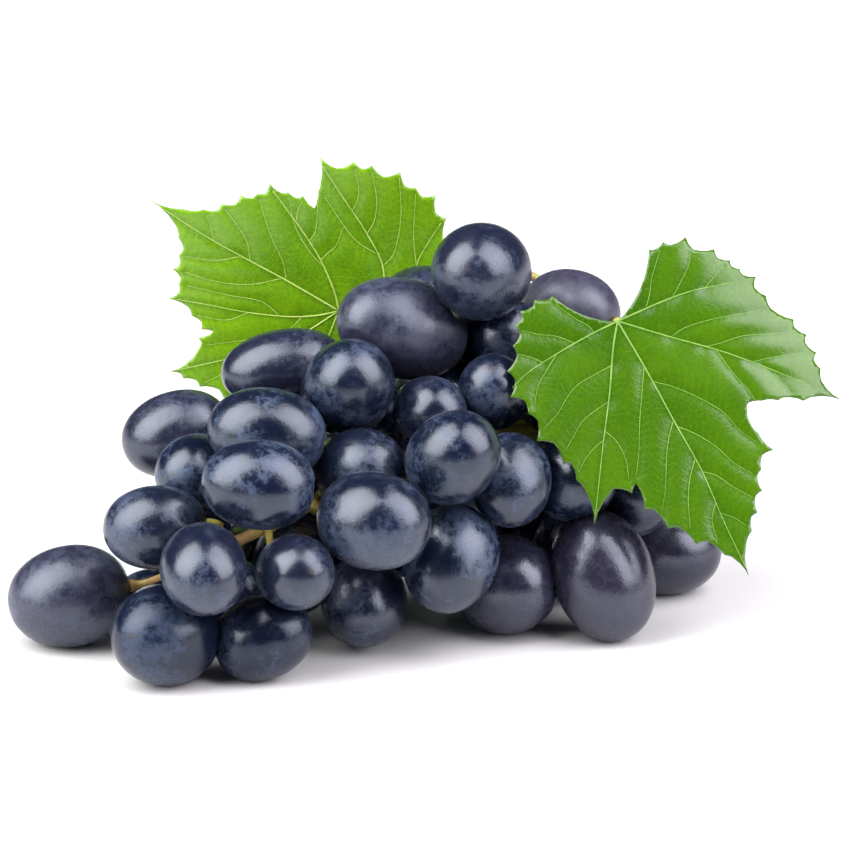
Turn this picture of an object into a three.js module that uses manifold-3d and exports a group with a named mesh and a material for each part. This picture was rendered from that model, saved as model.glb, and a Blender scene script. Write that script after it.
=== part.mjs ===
// A bunch of black grapes lying on a table, with two vine leaves, in millimetres, +Z up.
// Shapes are laid out as the viewer sees them: x runs right, y up and z towards the viewer.
// One group then tips them back by the height of the view, so that the berries rest on a table at Z = 0.
import * as THREE from "three";
import { mergeVertices } from "three/addons/utils/BufferGeometryUtils.js";
import Module from "manifold-3d";

const { degToRad, lerp } = THREE.MathUtils;

const VIEW_HEIGHT = degToRad(20); // of the line of sight above the table
const ORIGIN_X = -0.4; // middle of the bunch, seen from above
const ORIGIN_Y = 10.4;
const GAP = 0.3; // air between two pieces that meet

// Berries
const PRESS = 0.7; // how far touching berries press into each other
const FLAT = 0.3; // depth of the flat spot under a berry that rests on the table
const LEAST_RATIO = 1.2; // of a berry's length to its width
const SEEN_FACETS = 2; // splits of each edge of a berry's twenty faces
const HIDDEN_FACETS = 1;
const FACET_GROWTH = 1.02; // a faceted berry is this much larger, to fill out its true size

// Berries that carry the bunch at the front: middle x, y and z, half length and half width as they look,
// the turn of the blossom end in degrees from the right, and the true half length where it is given.
// They stay where they are.
const RESTING_BERRIES = [
  [-78, 7.5, 11.6, 13.6, 11.2, 190],
  [-61.2, 6.3, 2.6, 7.8, 7, 200],
  [-56.8, -0.7, 34.4, 11.9, 11.2, 180],
  [-35.4, -1.3, 31, 11.1, 9.3, 20],
  [-13.4, 6.4, 12.9, 10.1, 9.5, 270],
  [17.8, 10.1, 4.2, 11.7, 11, 0],
  [39.2, 11.9, 7.8, 14.7, 11.2, -72],
  [52.8, 17.8, -19.7, 12.8, 10.3, -5],
];
// The other berries seen from the front, in the same form. They settle along the line of sight.
const FRONT_BERRIES = [
  [-59, 22.7, 31, 11.4, 9.2, 183],
  [-54.6, 43.1, 2, 12.3, 9.5, 195],
  [-49.7, 34.3, 18, 9.5, 9, 180],
  [-34.6, 43.4, 27, 13.1, 9.9, 172],
  [-36.3, 32.1, 43, 12.5, 9.9, 176],
  [-31, 57.6, 6, 13.9, 8.6, 188],
  [-16.8, 53.4, 20, 10.8, 10.1, 60],
  [-5.1, 66.4, 8, 14.5, 11, 165, 15.6],
  [-0.9, 70.8, -12, 10.3, 9.5, 190],
  [12.3, 78.8, 10, 11, 10.8, 180],
  [32.1, 70, -16, 11, 9.5, 165],
  [1.1, 48.2, 21, 8.1, 7.7, 0],
  [15, 52.4, 10, 8.4, 7.9, 90],
  [6.2, 38.1, 35, 10.8, 9.9, 42],
  [-13.9, 35, 25, 10.1, 9.5, 0],
  [-11, 24.2, 43, 12.5, 10.8, -10],
  [-48.2, 13.6, 46, 10.1, 9.5, 280],
  [-28.2, 13, 41, 8.6, 8.4, 0],
  [5.7, 15.8, 29, 12.1, 10.3, 250],
  [18.7, 33, 20, 10.3, 9, 270],
  [45.1, 30, -8, 10.1, 9.7, 0],
  [32.3, 33.5, 6, 10.1, 9.7, 0],
  [16.5, 64.2, -6, 9.7, 9.2, 180],
  [29.7, 52.4, 0, 10.1, 9.7, 0],
  [48.5, 48, -2, 10.1, 9.7, 0],
];
// Berries in the gaps just behind the front ones: middle x, y and z, and half width. They settle freely.
const GAP_BERRIES = [
  [-41, 11.5, -13, 9],
  [-47.5, 1, 18.5, 9],
  [-32, 23.5, -13.5, 9],
  [-23, 28.5, -11, 9],
  [-10.5, 34, -14.5, 9],
  [28.5, 20, -14, 9],
  [-21, 13.5, -9, 9],
];
// The hidden rest sits in rings along the stem, an inner layer and an outer one. Angles go from straight
// down, through the back, to above the stem.
const SEED = 5;
const DRAW_FACTOR = 16807;
const DRAW_MODULUS = 2147483647;
const RINGS = 13;
const RINGS_TO = 0.86; // share of the stem that carries berries
const INNER_LAYER = { reach: [15, 15], from: -90, to: 90, step: 45 };
const OUTER_LAYER = { reach: [13, 32], from: -90, to: 45, step: 24 };
const SHOULDER_AT = 0.55; // share of the stem from the tip to where a layer has its full reach
const HIDDEN_HALF_WIDTH = [9.2, 10.6];
const CROWDING = 4; // how far a hidden berry may press into others before the bunch settles
// Settling: every berry is pulled to the stem, ever more gently, and pushed off what it presses into.
const ROUNDS = 60;
const SWEEPS = 3;
const PULL = 0.5;
const PUSH = 1.5;
const LEAST_FREEDOM = 0.05;
const NEIGHBOUR = 30;

// Stem, from the tip of the bunch to its cut end
const STEM_POINTS = [
  [-57, 11.7, 19],
  [-38.5, 20.9, 16],
  [-10, 35.2, 4],
  [21, 44, -6],
  [47, 41.8, -16],
  [66, 42, -18],
];
const STEM_ROOM = 2.9; // kept free of berries round the stem's middle line
const STEM_TIP_RADIUS = 1;
const STEM_CUT_RADIUS = 2.4;
const STEM_SIDES = 8;
const STEM_STEPS = 26;
const STEM_SAMPLES = 80;
const STALK_RADIUS = 0.8; // of a berry's own stalk
const STALK_HEAD_RADIUS = 1.6; // where it widens to carry the berry
const STALK_SLANT = 3; // samples along the stem from a berry to the root of its stalk
const STALK_STRAIGHT = 3; // straight length of a stalk before it meets the berry
const STALK_SIDES = 5;
const STALK_STEPS = 4;
const STALK_SAMPLES = 12;

// Leaves
const LEAF_THICKNESS = 0.8;
const NOTCH_SHARE = 0.3; // depth of a notch between two teeth, as a share of their distance
const NOTCH_MOST = 2;
const LEAF_RINGS = [0.3, 0.6, 0.85, 1]; // shares of the way from the head of the leaf's stalk to its edge
const CLEFT_BOW = degToRad(22); // how far the edges of the cleft at the stalk bow into the blade
const CLEFT_REACH = degToRad(40); // how far from the cleft that is felt
const LEAF_STALK_RADIUS = 1.2;
const LEAF_STALK_STEPS = 16;

// A leaf has the head of its stalk, the lean of its blade towards the viewer, the curl of its left and
// right side, the bend of one lobe with the turn and distance where it starts, and the line of its stalk.
// Its teeth are given in x and y from the head, anticlockwise from the cleft. The third value of a tooth is
// the depth of the notch behind it, where that is unusual.
const RIGHT_LEAF = {
  head: [42.2, 67.8, 17.5],
  lean: -0.12,
  curl: [0.003, 0],
  bend: { turn: degToRad(30), from: 15, share: -0.014 },
  teeth: [
    [-14.3, 5.6],
    [-18.2, 4.7],
    [-21.4, 2.2],
    [-22.5, -0.9],
    [-23, -5.4],
    [-24.3, -10.9],
    [-23.6, -16.7],
    [-19.6, -20.2],
    [-17.8, -26.3],
    [-12, -30.8],
    [-9.1, -34.7, 2],
    [-5.2, -44.7, 4.5],
    [3.1, -37.6, 4],
    [5.8, -41.2],
    [10.9, -45.4],
    [17.1, -48.8],
    [23.4, -51.2],
    [28.7, -55.9, 2],
    [29.3, -45.8],
    [30.5, -41.9],
    [31.6, -37.1],
    [31.4, -32.5],
    [34.1, -28.2, 0.8],
    [28.8, -21.8, 0.3],
    [28.5, -17.9, 0.4],
    [35.2, -17.3],
    [40.8, -17.4],
    [48.8, -17.1, 2],
    [44.5, -10.4],
    [43.6, -6.9],
    [41.4, -2.9],
    [38.6, 0.4],
    [32.5, 5.6],
    [30.3, 9.8],
    [26.7, 11.5],
    [24.7, 13.4],
    [21.2, 15.8],
    [14.9, 18.5],
    [10, 17.4],
    [6.9, 15.8],
  ],
  stalkLine: [
    [42.2, 67.4, 17.1],
    [51, 67, 2],
    [61, 58, -11],
    [63, 45, -17.4],
  ],
};
const LEFT_LEAF = {
  head: [-19.1, 70.4, -34],
  lean: 0.3,
  curl: [-0.002, -0.002],
  bend: { turn: 0, from: 0, share: 0 },
  teeth: [
    [16.3, -9.2],
    [22.4, -4.1],
    [26.5, 2],
    [27.5, 8.2],
    [25.5, 14.3],
    [23.8, 20.4],
    [21.5, 25.6],
    [17.2, 27.1],
    [13.7, 30.7],
    [7.4, 32.1],
    [3.4, 32.9],
    [-4.1, 33.9, 2],
    [-4.5, 26.5, 3.4],
    [-7.9, 25.4],
    [-11.2, 26.2],
    [-15.3, 28.3],
    [-18.2, 25.8],
    [-21.7, 25.6],
    [-26, 23.6],
    [-29.9, 22.4],
    [-42.2, 24.7, 3],
    [-35.5, 16.1],
    [-35.5, 12.3],
    [-36.8, 9.2],
    [-35.5, 6],
    [-37.7, 2.7],
    [-32.7, -1.1],
    [-30.5, -4.1, 3],
    [-31.2, -6],
    [-31.4, -8.6],
    [-37.7, -13.5],
    [-34.6, -15],
    [-31, -16.8],
    [-25.5, -20.2],
    [-22.4, -24.5],
    [-17.3, -27.5],
    [-11.2, -28.6],
    [-5.1, -26.5],
    [0, -23.5],
  ],
  stalkLine: [
    [-19.1, 70, -34.2],
    [-2, 75, -36],
    [17, 80, -36],
    [37, 70, -45],
    [55, 54, -32],
    [61, 44, -20.6],
  ],
};

// Table, only to cut the flat spots
const TABLE_SIDE = 400;
const TABLE_DEPTH = 40;

const BERRY_FINISH = { color: 0x2b2b3d, roughness: 0.4 };
const STEM_FINISH = { color: 0x8f8a3c, roughness: 0.6 };
const RIGHT_LEAF_FINISH = { color: 0x5e9a24, roughness: 0.5 };
const LEFT_LEAF_FINISH = { color: 0x76ad2e, roughness: 0.5 };

const wasm = await Module();
wasm.setup();

const vector = (values) => new THREE.Vector3(...values);
const UP = new THREE.Vector3(0, Math.cos(VIEW_HEIGHT), Math.sin(VIEW_HEIGHT));

// A closed geometry as a solid that can be joined and cut
function solid(geometry) {
  const bare = geometry.clone();
  bare.deleteAttribute("normal");
  bare.deleteAttribute("uv");
  const merged = mergeVertices(bare);
  const mesh = new wasm.Mesh({
    numProp: 3,
    vertProperties: new Float32Array(merged.attributes.position.array),
    triVerts: new Uint32Array(merged.index.array),
  });
  return new wasm.Manifold(mesh);
}

function geometryOf(positions, faces) {
  const geometry = new THREE.BufferGeometry();
  geometry.setAttribute("position", new THREE.BufferAttribute(new Float32Array(positions), 3));
  geometry.setIndex(new THREE.BufferAttribute(new Uint32Array(faces), 1));
  return geometry;
}

function namedMesh(name, body, finish) {
  const { vertProperties, triVerts } = body.getMesh();
  const material = new THREE.MeshStandardMaterial({ ...finish, metalness: 0 });
  const mesh = new THREE.Mesh(geometryOf(vertProperties, triVerts), material);
  mesh.name = name;
  return mesh;
}

// A round stalk that tapers along a smooth line through the points, closed at both ends
function stalk(points, startRadius, endRadius, sides, steps) {
  const line = new THREE.CatmullRomCurve3(points);
  const { normals, binormals } = line.computeFrenetFrames(steps);
  const positions = [];
  const faces = [];
  const at = (ring, side) => ring * sides + (side % sides);
  for (let ring = 0; ring <= steps; ring++) {
    const radius = lerp(startRadius, endRadius, ring / steps);
    for (let side = 0; side < sides; side++) {
      const angle = (2 * Math.PI * side) / sides;
      const point = line.getPointAt(ring / steps);
      point.addScaledVector(normals[ring], radius * Math.cos(angle));
      point.addScaledVector(binormals[ring], radius * Math.sin(angle));
      positions.push(...point.toArray());
      if (ring < steps) {
        faces.push(at(ring, side), at(ring, side + 1), at(ring + 1, side + 1));
        faces.push(at(ring, side), at(ring + 1, side + 1), at(ring + 1, side));
      }
    }
  }
  for (let side = 1; side < sides - 1; side++) {
    faces.push(at(0, 0), at(0, side + 1), at(0, side));
    faces.push(at(steps, 0), at(steps, side), at(steps, side + 1));
  }
  return geometryOf(positions, faces);
}

// The stem's middle line, with points on it to measure from
const stemLine = new THREE.CatmullRomCurve3(STEM_POINTS.map(vector));
const stemPoints = stemLine.getSpacedPoints(STEM_SAMPLES);

function nearestOnStem(point) {
  const distances = stemPoints.map((stemPoint) => stemPoint.distanceToSquared(point));
  return distances.indexOf(Math.min(...distances));
}

function fromStem(point) {
  return point.clone().sub(stemPoints[nearestOnStem(point)]);
}

// Berries: each is an ellipsoid with its middle, the way its blossom end points, its half length and half
// width, and how far it may move along x, y and z.

function seenBerry([x, y, z, seenLength, halfWidth, turn, givenLength = seenLength], freedom) {
  const middle = new THREE.Vector3(x, y, z);
  const halfLength = Math.max(givenLength, LEAST_RATIO * halfWidth);
  // A berry that looks shorter than it is points partly along the line of sight, away from the stem.
  const share = (seenLength ** 2 - halfWidth ** 2) / (halfLength ** 2 - halfWidth ** 2);
  const deep = Math.sqrt(1 - share) * Math.sign(fromStem(middle).z);
  const axis = new THREE.Vector3(Math.cos(degToRad(turn)), Math.sin(degToRad(turn)), 0);
  axis.multiplyScalar(Math.sqrt(share)).setZ(deep);
  return { middle, axis, halfLength, halfWidth, freedom: vector(freedom) };
}

function hiddenBerry(middle, axis, halfWidth) {
  const halfLength = LEAST_RATIO * halfWidth;
  const berry = { middle, axis, halfLength, halfWidth, freedom: vector([1, 1, 1]) };
  raiseToTable(berry);
  return berry;
}

function radiusTowards(berry, way) {
  const c = way.dot(berry.axis);
  return 1 / Math.sqrt(c ** 2 / berry.halfLength ** 2 + (1 - c ** 2) / berry.halfWidth ** 2);
}

function gapBetween(a, b) {
  const way = b.middle.clone().sub(a.middle);
  const distance = way.length();
  way.divideScalar(distance);
  return { way, gap: distance - radiusTowards(a, way) - radiusTowards(b, way) };
}

function raiseToTable(berry) {
  const c = UP.dot(berry.axis);
  const halfHeight = Math.sqrt((c * berry.halfLength) ** 2 + (1 - c ** 2) * berry.halfWidth ** 2);
  const low = UP.dot(berry.middle) - halfHeight + FLAT;
  berry.middle.addScaledVector(UP, Math.max(0, -low));
}

// A seeded draw between 0 and 1
let seedState = SEED;
function draw() {
  seedState = (seedState * DRAW_FACTOR) % DRAW_MODULUS;
  return seedState / DRAW_MODULUS;
}

// Adds the berries of a layer, ring by ring, wherever there is room for one.
function addLayer(berries, { reach, from, to, step }) {
  for (let ring = 0; ring < RINGS; ring++) {
    const share = ((ring + 0.5) / RINGS) * RINGS_TO;
    const root = stemLine.getPointAt(share);
    const behind = UP.clone().cross(stemLine.getTangentAt(share)).normalize();
    const distance = lerp(...reach, Math.min(1, share / SHOULDER_AT));
    const stagger = (ring % 2) * step * 0.5;
    for (let angle = from + stagger; angle <= to; angle += step) {
      const axis = behind.clone().multiplyScalar(Math.cos(degToRad(angle)));
      axis.addScaledVector(UP, Math.sin(degToRad(angle)));
      const middle = root.clone().addScaledVector(axis, distance);
      const berry = hiddenBerry(middle, axis, lerp(...HIDDEN_HALF_WIDTH, draw()));
      const offStem = fromStem(berry.middle).length() > STEM_ROOM + berry.halfWidth;
      if (offStem && berries.every((other) => gapBetween(berry, other).gap > -CROWDING)) {
        berries.push(berry);
      }
    }
  }
}

function isHidden(berry) {
  return berry.freedom.x > 0;
}

function pullToStem(berry, step) {
  const way = fromStem(berry.middle).negate();
  if (isHidden(berry)) {
    way.addScaledVector(UP, -Math.max(0, way.dot(UP)));
  }
  way.multiply(berry.freedom);
  if (way.length() > step) {
    berry.middle.add(way.setLength(step));
  }
}

function pushApart(a, b) {
  if (a.middle.distanceTo(b.middle) > NEIGHBOUR) {
    return;
  }
  const { way, gap } = gapBetween(a, b);
  const wayOfA = way.clone().multiply(a.freedom);
  const wayOfB = way.clone().multiply(b.freedom);
  const freedom = wayOfA.lengthSq() + wayOfB.lengthSq();
  if (gap + PRESS < 0 && freedom >= LEAST_FREEDOM) {
    const push = Math.min(-(gap + PRESS) / freedom, PUSH);
    a.middle.addScaledVector(wayOfA, -push);
    b.middle.addScaledVector(wayOfB, push);
  }
}

function pushOffStem(berry) {
  const way = fromStem(berry.middle);
  const distance = way.length();
  way.normalize();
  const gap = distance - STEM_ROOM - radiusTowards(berry, way);
  way.multiply(berry.freedom);
  if (gap < 0 && way.lengthSq() > LEAST_FREEDOM) {
    berry.middle.addScaledVector(way, -gap / way.lengthSq());
  }
}

function settle(berries) {
  for (let round = 0; round < ROUNDS; round++) {
    berries.forEach((berry) => pullToStem(berry, PULL * (1 - round / ROUNDS)));
    for (let sweep = 0; sweep < SWEEPS; sweep++) {
      berries.forEach((berry, i) => berries.slice(0, i).forEach((other) => pushApart(berry, other)));
      berries.filter(isHidden).forEach(raiseToTable);
      berries.forEach(pushOffStem);
    }
  }
}

function makeBerries() {
  const berries = [
    ...RESTING_BERRIES.map((row) => seenBerry(row, [0, 0, 0])),
    ...FRONT_BERRIES.map((row) => seenBerry(row, [0, 0, 1])),
  ];
  for (const [x, y, z, halfWidth] of GAP_BERRIES) {
    const middle = new THREE.Vector3(x, y, z);
    berries.push(hiddenBerry(middle, fromStem(middle).normalize(), halfWidth));
  }
  addLayer(berries, INNER_LAYER);
  addLayer(berries, OUTER_LAYER);
  settle(berries);
  return berries;
}

function berrySolid(berry) {
  const { middle, axis, halfLength, halfWidth } = berry;
  const facets = isHidden(berry) ? HIDDEN_FACETS : SEEN_FACETS;
  const geometry = new THREE.IcosahedronGeometry(FACET_GROWTH, facets);
  geometry.scale(halfWidth, halfLength, halfWidth);
  geometry.applyQuaternion(new THREE.Quaternion().setFromUnitVectors(new THREE.Vector3(0, 1, 0), axis));
  geometry.translate(...middle.toArray());
  return solid(geometry);
}

// The stem with the stalks of those berries that have a clear way to it

function stalkOf(berry, berries) {
  const rootAt = Math.min(nearestOnStem(berry.middle) + STALK_SLANT, STEM_SAMPLES);
  const head = berry.middle.clone().addScaledVector(berry.axis, -berry.halfLength * FACET_GROWTH - GAP);
  const neck = head.clone().addScaledVector(berry.axis, -STALK_STRAIGHT);
  const points = [stemPoints[rootAt], neck, head];
  const samples = new THREE.CatmullRomCurve3(points).getSpacedPoints(STALK_SAMPLES);
  const isClear = berries.every((other) => {
    const room = other === berry ? 0 : STALK_HEAD_RADIUS + GAP;
    return samples.every((point) => {
      const way = point.clone().sub(other.middle);
      const distance = way.length();
      return distance > radiusTowards(other, way.normalize()) + room;
    });
  });
  return isClear ? solid(stalk(points, STALK_RADIUS, STALK_HEAD_RADIUS, STALK_SIDES, STALK_STEPS)) : null;
}

function stemSolid(berries) {
  const line = STEM_POINTS.map(vector);
  const main = solid(stalk(line, STEM_TIP_RADIUS, STEM_CUT_RADIUS, STEM_SIDES, STEM_STEPS));
  const stalks = berries.map((berry) => stalkOf(berry, berries)).filter(Boolean);
  return wasm.Manifold.union([main, ...stalks]);
}

// Leaves

function leafEdge(teeth) {
  const edge = [];
  teeth.forEach(([x, y, deep], i) => {
    edge.push(new THREE.Vector2(x, y));
    if (i + 1 < teeth.length) {
      const tooth = edge.at(-1);
      const next = new THREE.Vector2(teeth[i + 1][0], teeth[i + 1][1]);
      const notch = deep ?? Math.min(NOTCH_SHARE * tooth.distanceTo(next), NOTCH_MOST);
      const middle = tooth.clone().add(next).multiplyScalar(0.5);
      edge.push(middle.setLength(middle.length() - notch));
    }
  });
  return edge;
}

// The blade is a fan of spokes from the head of the stalk to the edge, alike on both faces.
function leafSolid({ head, lean, curl, bend, teeth, stalkLine }) {
  const edge = leafEdge(teeth);
  const first = edge[0];
  const last = edge.at(-1);
  const rings = LEAF_RINGS.length;
  const perFace = 1 + edge.length * rings;
  const positions = [];
  const faces = [];
  for (const offset of [LEAF_THICKNESS / 2, -LEAF_THICKNESS / 2]) {
    positions.push(head[0], head[1], head[2] + offset);
    for (const point of edge) {
      const toFirst = Math.max(0, 1 - Math.abs(first.angleTo(point)) / CLEFT_REACH);
      const toLast = Math.max(0, 1 - Math.abs(last.angleTo(point)) / CLEFT_REACH);
      for (const share of LEAF_RINGS) {
        const bow = CLEFT_BOW * (1 - share) * (toFirst - toLast);
        const { x, y } = point.clone().multiplyScalar(share).rotateAround(new THREE.Vector2(), bow);
        const beyond = Math.max(0, x * Math.cos(bend.turn) + y * Math.sin(bend.turn) - bend.from);
        const height = lean * y + curl[x < 0 ? 0 : 1] * x ** 2 + bend.share * beyond ** 2;
        positions.push(head[0] + x, head[1] + y, head[2] + height + offset);
      }
    }
  }
  const at = (spoke, ring) => 1 + spoke * rings + ring;
  const front = [];
  for (let spoke = 0; spoke + 1 < edge.length; spoke++) {
    front.push([0, at(spoke, 0), at(spoke + 1, 0)]);
    for (let ring = 0; ring + 1 < rings; ring++) {
      front.push([at(spoke, ring), at(spoke, ring + 1), at(spoke + 1, ring + 1)]);
      front.push([at(spoke, ring), at(spoke + 1, ring + 1), at(spoke + 1, ring)]);
    }
  }
  const rim = [
    0,
    ...LEAF_RINGS.map((_, ring) => at(0, ring)),
    ...edge.slice(1, -1).map((_, i) => at(i + 1, rings - 1)),
    ...LEAF_RINGS.map((_, ring) => at(edge.length - 1, rings - 1 - ring)),
  ];
  for (const [a, b, c] of front) {
    faces.push(a, b, c);
    faces.push(perFace + a, perFace + c, perFace + b);
  }
  rim.forEach((a, i) => {
    const b = rim[(i + 1) % rim.length];
    faces.push(a, perFace + a, perFace + b);
    faces.push(a, perFace + b, b);
  });
  const blade = solid(geometryOf(positions, faces));
  const line = stalkLine.map(vector);
  const leafStalk = stalk(line, LEAF_STALK_RADIUS, LEAF_STALK_RADIUS, STEM_SIDES, LEAF_STALK_STEPS);
  return blade.add(solid(leafStalk));
}

const bunch = new THREE.Group();
bunch.rotation.x = Math.PI / 2 - VIEW_HEIGHT;
bunch.position.set(-ORIGIN_X, -ORIGIN_Y, 0);
bunch.updateMatrixWorld();

const berries = makeBerries();
const table = new THREE.BoxGeometry(TABLE_SIDE, TABLE_SIDE, TABLE_DEPTH);
table.translate(0, 0, -TABLE_DEPTH / 2);
table.applyMatrix4(bunch.matrixWorld.clone().invert());
const fusedBerries = wasm.Manifold.union(berries.map(berrySolid)).subtract(solid(table));

bunch.add(namedMesh("berries", fusedBerries, BERRY_FINISH));
bunch.add(namedMesh("stem", stemSolid(berries), STEM_FINISH));
bunch.add(namedMesh("leaf_right", leafSolid(RIGHT_LEAF), RIGHT_LEAF_FINISH));
bunch.add(namedMesh("leaf_left", leafSolid(LEFT_LEAF), LEFT_LEAF_FINISH));

export default bunch;
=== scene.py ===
"""A bunch of black grapes with two vine leaves, lying on a pale studio floor.

The berries, stalks and leaves are laid out as in the part's source: in millimetres as the viewer sees them,
x to the right, y up and z towards the viewer, and then tipped back by the height of the view.
"""

import math

import bpy
import numpy as np
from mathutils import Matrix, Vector
from mathutils.geometry import delaunay_2d_cdt

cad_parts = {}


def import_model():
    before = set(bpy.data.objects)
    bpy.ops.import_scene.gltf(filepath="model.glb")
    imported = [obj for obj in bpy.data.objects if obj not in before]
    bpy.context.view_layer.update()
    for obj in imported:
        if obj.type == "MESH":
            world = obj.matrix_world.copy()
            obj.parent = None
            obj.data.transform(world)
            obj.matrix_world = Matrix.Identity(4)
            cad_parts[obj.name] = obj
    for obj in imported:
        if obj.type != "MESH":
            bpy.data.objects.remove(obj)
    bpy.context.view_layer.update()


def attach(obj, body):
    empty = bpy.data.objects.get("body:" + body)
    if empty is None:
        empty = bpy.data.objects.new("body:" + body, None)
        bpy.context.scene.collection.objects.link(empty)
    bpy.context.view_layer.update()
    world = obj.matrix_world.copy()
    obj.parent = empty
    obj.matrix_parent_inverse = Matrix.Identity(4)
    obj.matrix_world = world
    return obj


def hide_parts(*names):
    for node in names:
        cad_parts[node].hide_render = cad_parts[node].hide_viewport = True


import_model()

MM = 0.001
VIEW_HEIGHT = math.radians(20)
SIN = math.sin(VIEW_HEIGHT)
COS = math.cos(VIEW_HEIGHT)
UP = np.array([0, COS, SIN])
ORIGIN_X = -0.4
ORIGIN_Y = 10.4

# Berries, as in the part's source. A row of a seen berry: its x, y and z, half of its seen length, half of
# its width, its turn in the picture in degrees and, where it is longer than it looks, half of its length.
PRESS = 0.7  # how far neighbours may press into each other
FLAT = 0.3  # how much of a resting berry the table presses flat
LEAST_RATIO = 1.2  # least length of a berry over its width
RESTING_BERRIES = [
    [-78, 7.5, 11.6, 13.6, 11.2, 190],
    [-61.2, 6.3, 2.6, 7.8, 7, 200],
    [-56.8, -0.7, 34.4, 11.9, 11.2, 180],
    [-35.4, -1.3, 31, 11.1, 9.3, 20],
    [-13.4, 6.4, 12.9, 10.1, 9.5, 270],
    [17.8, 10.1, 4.2, 11.7, 11, 0],
    [39.2, 11.9, 7.8, 14.7, 11.2, -72],
    [52.8, 17.8, -19.7, 12.8, 10.3, -5],
]
FRONT_BERRIES = [
    [-59, 22.7, 31, 11.4, 9.2, 183],
    [-54.6, 43.1, 2, 12.3, 9.5, 195],
    [-49.7, 34.3, 18, 9.5, 9, 180],
    [-34.6, 43.4, 27, 13.1, 9.9, 172],
    [-36.3, 32.1, 43, 12.5, 9.9, 176],
    [-31, 57.6, 6, 13.9, 8.6, 188],
    [-16.8, 53.4, 20, 10.8, 10.1, 60],
    [-5.1, 66.4, 8, 14.5, 11, 165, 15.6],
    [-0.9, 70.8, -12, 10.3, 9.5, 190],
    [12.3, 78.8, 10, 11, 10.8, 180],
    [32.1, 70, -16, 11, 9.5, 165],
    [1.1, 48.2, 21, 8.1, 7.7, 0],
    [15, 52.4, 10, 8.4, 7.9, 90],
    [6.2, 38.1, 35, 10.8, 9.9, 42],
    [-13.9, 35, 25, 10.1, 9.5, 0],
    [-11, 24.2, 43, 12.5, 10.8, -10],
    [-48.2, 13.6, 46, 10.1, 9.5, 280],
    [-28.2, 13, 41, 8.6, 8.4, 0],
    [5.7, 15.8, 29, 12.1, 10.3, 250],
    [18.7, 33, 20, 10.3, 9, 270],
    [45.1, 30, -8, 10.1, 9.7, 0],
    [32.3, 33.5, 6, 10.1, 9.7, 0],
    [16.5, 64.2, -6, 9.7, 9.2, 180],
    [29.7, 52.4, 0, 10.1, 9.7, 0],
    [48.5, 48, -2, 10.1, 9.7, 0],
]
# x, y, z and half of the width of the berries that fill the gaps behind those
GAP_BERRIES = [
    [-41, 11.5, -13, 9],
    [-47.5, 1, 18.5, 9],
    [-32, 23.5, -13.5, 9],
    [-23, 28.5, -11, 9],
    [-10.5, 34, -14.5, 9],
    [28.5, 20, -14, 9],
    [-21, 13.5, -9, 9],
]
# The hidden rest, in rings along the stem: how far from it they are at the tip and at the shoulder of the
# bunch, and their angles above level in degrees
SEED = 5
DRAW_FACTOR = 16807
DRAW_MODULUS = 2**31 - 1
RINGS = 13
RINGS_TO = 0.86  # share of the stem that has rings
INNER_LAYER = {"reach": (15, 15), "low": -90, "high": 90, "step": 45}
OUTER_LAYER = {"reach": (13, 32), "low": -90, "high": 45, "step": 24}
SHOULDER_AT = 0.55  # share of the stem from its tip
HIDDEN_HALF_WIDTH = (9.2, 10.6)
CROWDING = 4  # how far a new berry may reach into the others before all of them settle
ROUNDS = 60
SWEEPS = 3
PULL = 0.5
PUSH = 1.5
LEAST_FREEDOM = 0.05
NEIGHBOUR = 34  # berries with middles further apart than this never meet

# Stem, as in the part's source
STEM_POINTS = [
    [-57, 11.7, 19],
    [-38.5, 20.9, 16],
    [-10, 35.2, 4],
    [21, 44, -6],
    [47, 41.8, -16],
    [66, 42, -18],
]
STEM_ROOM = 2.9  # berries keep this far from the stem's middle line
STEM_SAMPLES = 80
STALK_SLANT = 3  # samples of the stem between a berry and the root of its stalk
STALK_STRAIGHT = 3

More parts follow.
